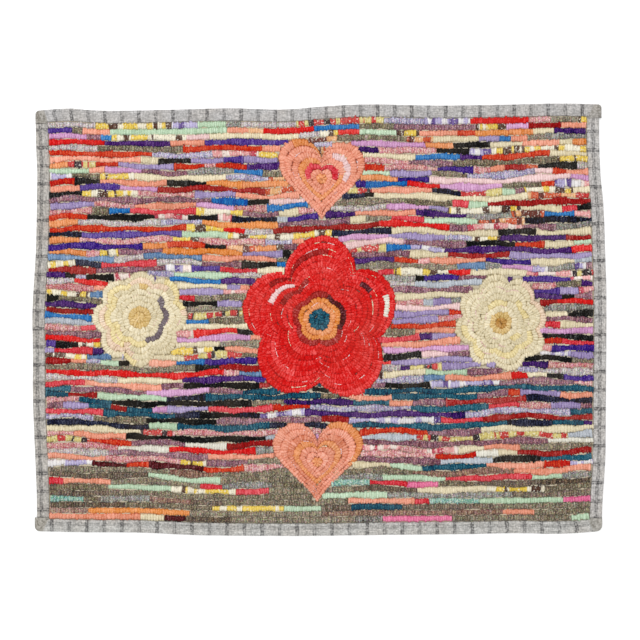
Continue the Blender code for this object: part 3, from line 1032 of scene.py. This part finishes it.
def checked_cloth(strip):
    """Light slubbed cotton with a windowpane check, of dark bars and paler bars in turn."""
    finish = Finish("checked_cloth_" + strip.node.split("_")[1], {"Roughness": 0.88, "Sheen Weight": 0.15})
    cloth = finish.node("ShaderNodeUVMap", {"uv_map": "cloth"}, {})
    place = finish.place()
    waver = (finish.speckle(place, WAVER_CLOUD, 2) - 0.5) * WAVER
    along = finish.axis(cloth, "X")
    over = finish.axis(cloth, "Y")

    def bars(distance, start, inks):
        """Bars at equal distances from the start on: a dark one, a pale one, and so on."""
        from_start = distance + waver - start
        folded = {"operation": "PINGPONG"}
        from_bar = finish.node("ShaderNodeMath", folded, {0: from_start, 1: strip.bar_apart / 2})
        from_dark = finish.node("ShaderNodeMath", folded, {0: from_start, 1: strip.bar_apart})
        ink = finish.ease(from_bar, *BAR_EDGE) * finish.ease(from_bar, *BAR_MIDDLE, MIDDLE_INK, 1.0)
        turn = (DARK_BAR_UNTIL * strip.bar_apart, PALE_BAR_FROM * strip.bar_apart)
        return ink * finish.ease(from_dark, *turn, *inks)

    grain = finish.speckle(place, GRAIN, 2)
    cross_bars = bars(along, strip.cross_bar, CROSS_INKS)
    long_bars = bars(over, strip.long_bar, LONG_INKS)
    dark = (1 - (1 - cross_bars) * (1 - long_bars)) * finish.ease(grain, *MOTTLE_RANGE, *MOTTLE)

    threads = finish.threads(along, CHECK_THREAD) * 0.5 + finish.threads(over, CHECK_THREAD) * 0.5
    lengthwise = [SLUB_LENGTH, SLUB_BREADTH, SLUB_DEPTH]
    crosswise = [SLUB_BREADTH, SLUB_LENGTH, SLUB_DEPTH]
    if strip.along == 1:
        lengthwise, crosswise = crosswise, lengthwise
    slub = finish.streaks(place, *lengthwise) * SLUB_ALONG + finish.streaks(place, *crosswise) * SLUB_ACROSS
    # The threads' tones are painted shade between the threads.
    tone = finish.ease(threads, 0.0, 1.0, *THREAD_SHADE_TONES) * finish.ease(slub, *SLUB_RANGE, *SLUB_TONES)
    tone = tone * finish.ease(grain, *GRAIN_RANGE, *GRAIN_TONES)

    colour = finish.mix(finish.clouds(place, AGE_CLOUDS), strip.tint, AGED_CLOTH)
    colour = finish.mix(1.0, colour, finish.grey(tone), "MULTIPLY")
    colour = finish.mix(dark, colour, INK)
    soiling = finish.node("ShaderNodeAttribute", {"attribute_name": "soiling"}, {}, "Fac")
    colour = finish.mix(soiling * FILM_SHARE, colour, FILM)
    colour = finish.mix(soiling * finish.clouds(place, SMUDGES), colour, SMUDGE)
    finish.paint(colour, threads * THREAD_RELIEF + slub * SLUB_RELIEF, CLOTH_RELIEF)
    return finish


# The check leans towards the ends of the long strips' front face: how far across the strip's width, how
# fast that fades towards the middle, and at what share of the width it doesn't move.
SKEW, SKEW_FADE, SKEW_PIVOT = 12 * MM, 80 * MM, 0.3


def make_binding(strip):
    """One strip of the binding: flat cloth, folded round the edge of the rug along its route."""
    outer = smooth_route(fold_points(strip.node))
    inner = inner_route(outer, Vector(strip.inward), strip.laps)
    lengths = route_lengths(outer)
    cloth = bmesh.new()
    bmesh.ops.create_grid(cloth, x_segments=len(FOLD) - 1, y_segments=len(outer) - 1, size=1)
    soiling = cloth.verts.layers.float.new("soiling")
    weave = cloth.loops.layers.uv.new("cloth")
    for vertex in cloth.verts:
        spot = FOLD[grid_step(vertex.co.x, len(FOLD) - 1)]
        at = grid_step(vertex.co.y, len(outer) - 1)
        from_end = min(lengths[at], lengths[-1] - lengths[at])
        reach = inner[at] - outer[at]
        sway = noise.noise(Vector((lengths[at] / WOBBLE_LENGTH, spot.share, SIDE_LAYER * strip.along)))
        further = spot.further + EDGE_WOBBLE * sway * (1 if spot.share > HEMS_FROM else FOLD_WOBBLES)
        point = outer[at] + reach * spot.share + reach.normalized() * further
        height = spot.height * EDGE_HEIGHT + spot.lift
        if spot.height > FRONT_FROM:
            lap = max(0, 1 - from_end / FAN) if strip.laps else 0
            pucker = Vector((lengths[at] / PUCKER_LENGTH, spot.share * PUCKERS_ACROSS, PUCKER_LAYER))
            height += BLOCK_RISE * math.sqrt(lap) + PUCKER * noise.noise(pucker)
            if strip.laps and from_end < BLOCK_LENGTH:
                vertex[soiling] = LEFT_SOILED if point.x < 0 else RIGHT_SOILED
        vertex.co = (*point, height)
    for face in cloth.faces:
        for corner in face.loops:
            x, y, z = corner.vert.co
            place = (x, y)[strip.along]
            depth = abs(np.interp(place, *strip.side)) - abs((x, y)[1 - strip.along])
            if strip.laps and x * strip.inward[1] > 0:
                fade = math.exp((abs(x) - cad_bounds[1].x) / SKEW_FADE)
                place += math.copysign(SKEW * fade * (depth / STRIP_WIDTH - SKEW_PIVOT), x)
            corner[weave].uv = (place, math.copysign(depth, z - MID_HEIGHT) + z - MID_HEIGHT)
    made = new_piece(strip.node + "_cloth", cloth, checked_cloth(strip))
    thicken(made, BINDING_CLOTH)
    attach(made, "root")
    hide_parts(strip.node)


for strip in STRIPS:
    make_binding(strip)


# ----------------------------
# The studio. A plain white floor in a pale room, with two soft lights above the rug, and a camera that
# looks straight down on its middle.

FLOOR_REACH = 20
FLOOR_DROP = 0.2 * MM
FLOOR_WHITE = 0.95
FLOOR_GLOW = 0.25
ROOM_LIGHT = 0.62
CAMERA_PLACE = (1.0 * MM, -0.7 * MM, 2.808)
CAMERA_LENS = 90

floor_mesh = bmesh.new()
bmesh.ops.create_grid(floor_mesh, x_segments=1, y_segments=1, size=FLOOR_REACH)
bmesh.ops.translate(floor_mesh, verts=floor_mesh.verts, vec=(0, 0, -FLOOR_DROP))
floor_colour = (FLOOR_WHITE, FLOOR_WHITE, FLOOR_WHITE, 1)
floor_even_values = {"Roughness": 0.9, "Base Color": floor_colour, "Emission Strength": FLOOR_GLOW}
floor = new_piece("floor", floor_mesh, Finish("white_floor", floor_even_values))


def soft_light(name, place, size, power):
    """A large square lamp, turned to the middle of the rug."""
    lamp = bpy.data.lights.new(name, "AREA")
    lamp.size = size
    lamp.energy = power
    made = bpy.data.objects.new(name, lamp)
    made.location = place
    made.rotation_euler = Vector(place).to_track_quat("Z", "Y").to_euler()
    bpy.context.scene.collection.objects.link(made)


soft_light("key_light", place=(-1.6, 1.9, 2.6), size=1.6, power=36)
soft_light("top_light", place=(0.4, 0.0, 3.4), size=2.6, power=30)

world = bpy.data.worlds.new("pale_room")
world.use_nodes = True
walls = world.node_tree.nodes["Background"]
walls.inputs["Color"].default_value = (1, 1, 1, 1)
walls.inputs["Strength"].default_value = ROOM_LIGHT
bpy.context.scene.world = world
bpy.context.scene.view_settings.view_transform = "Standard"

camera_data = bpy.data.cameras.new("camera")
camera_data.lens = CAMERA_LENS
camera = bpy.data.objects.new("camera", camera_data)
camera.location = CAMERA_PLACE
bpy.context.scene.collection.objects.link(camera)
bpy.context.scene.camera = camera
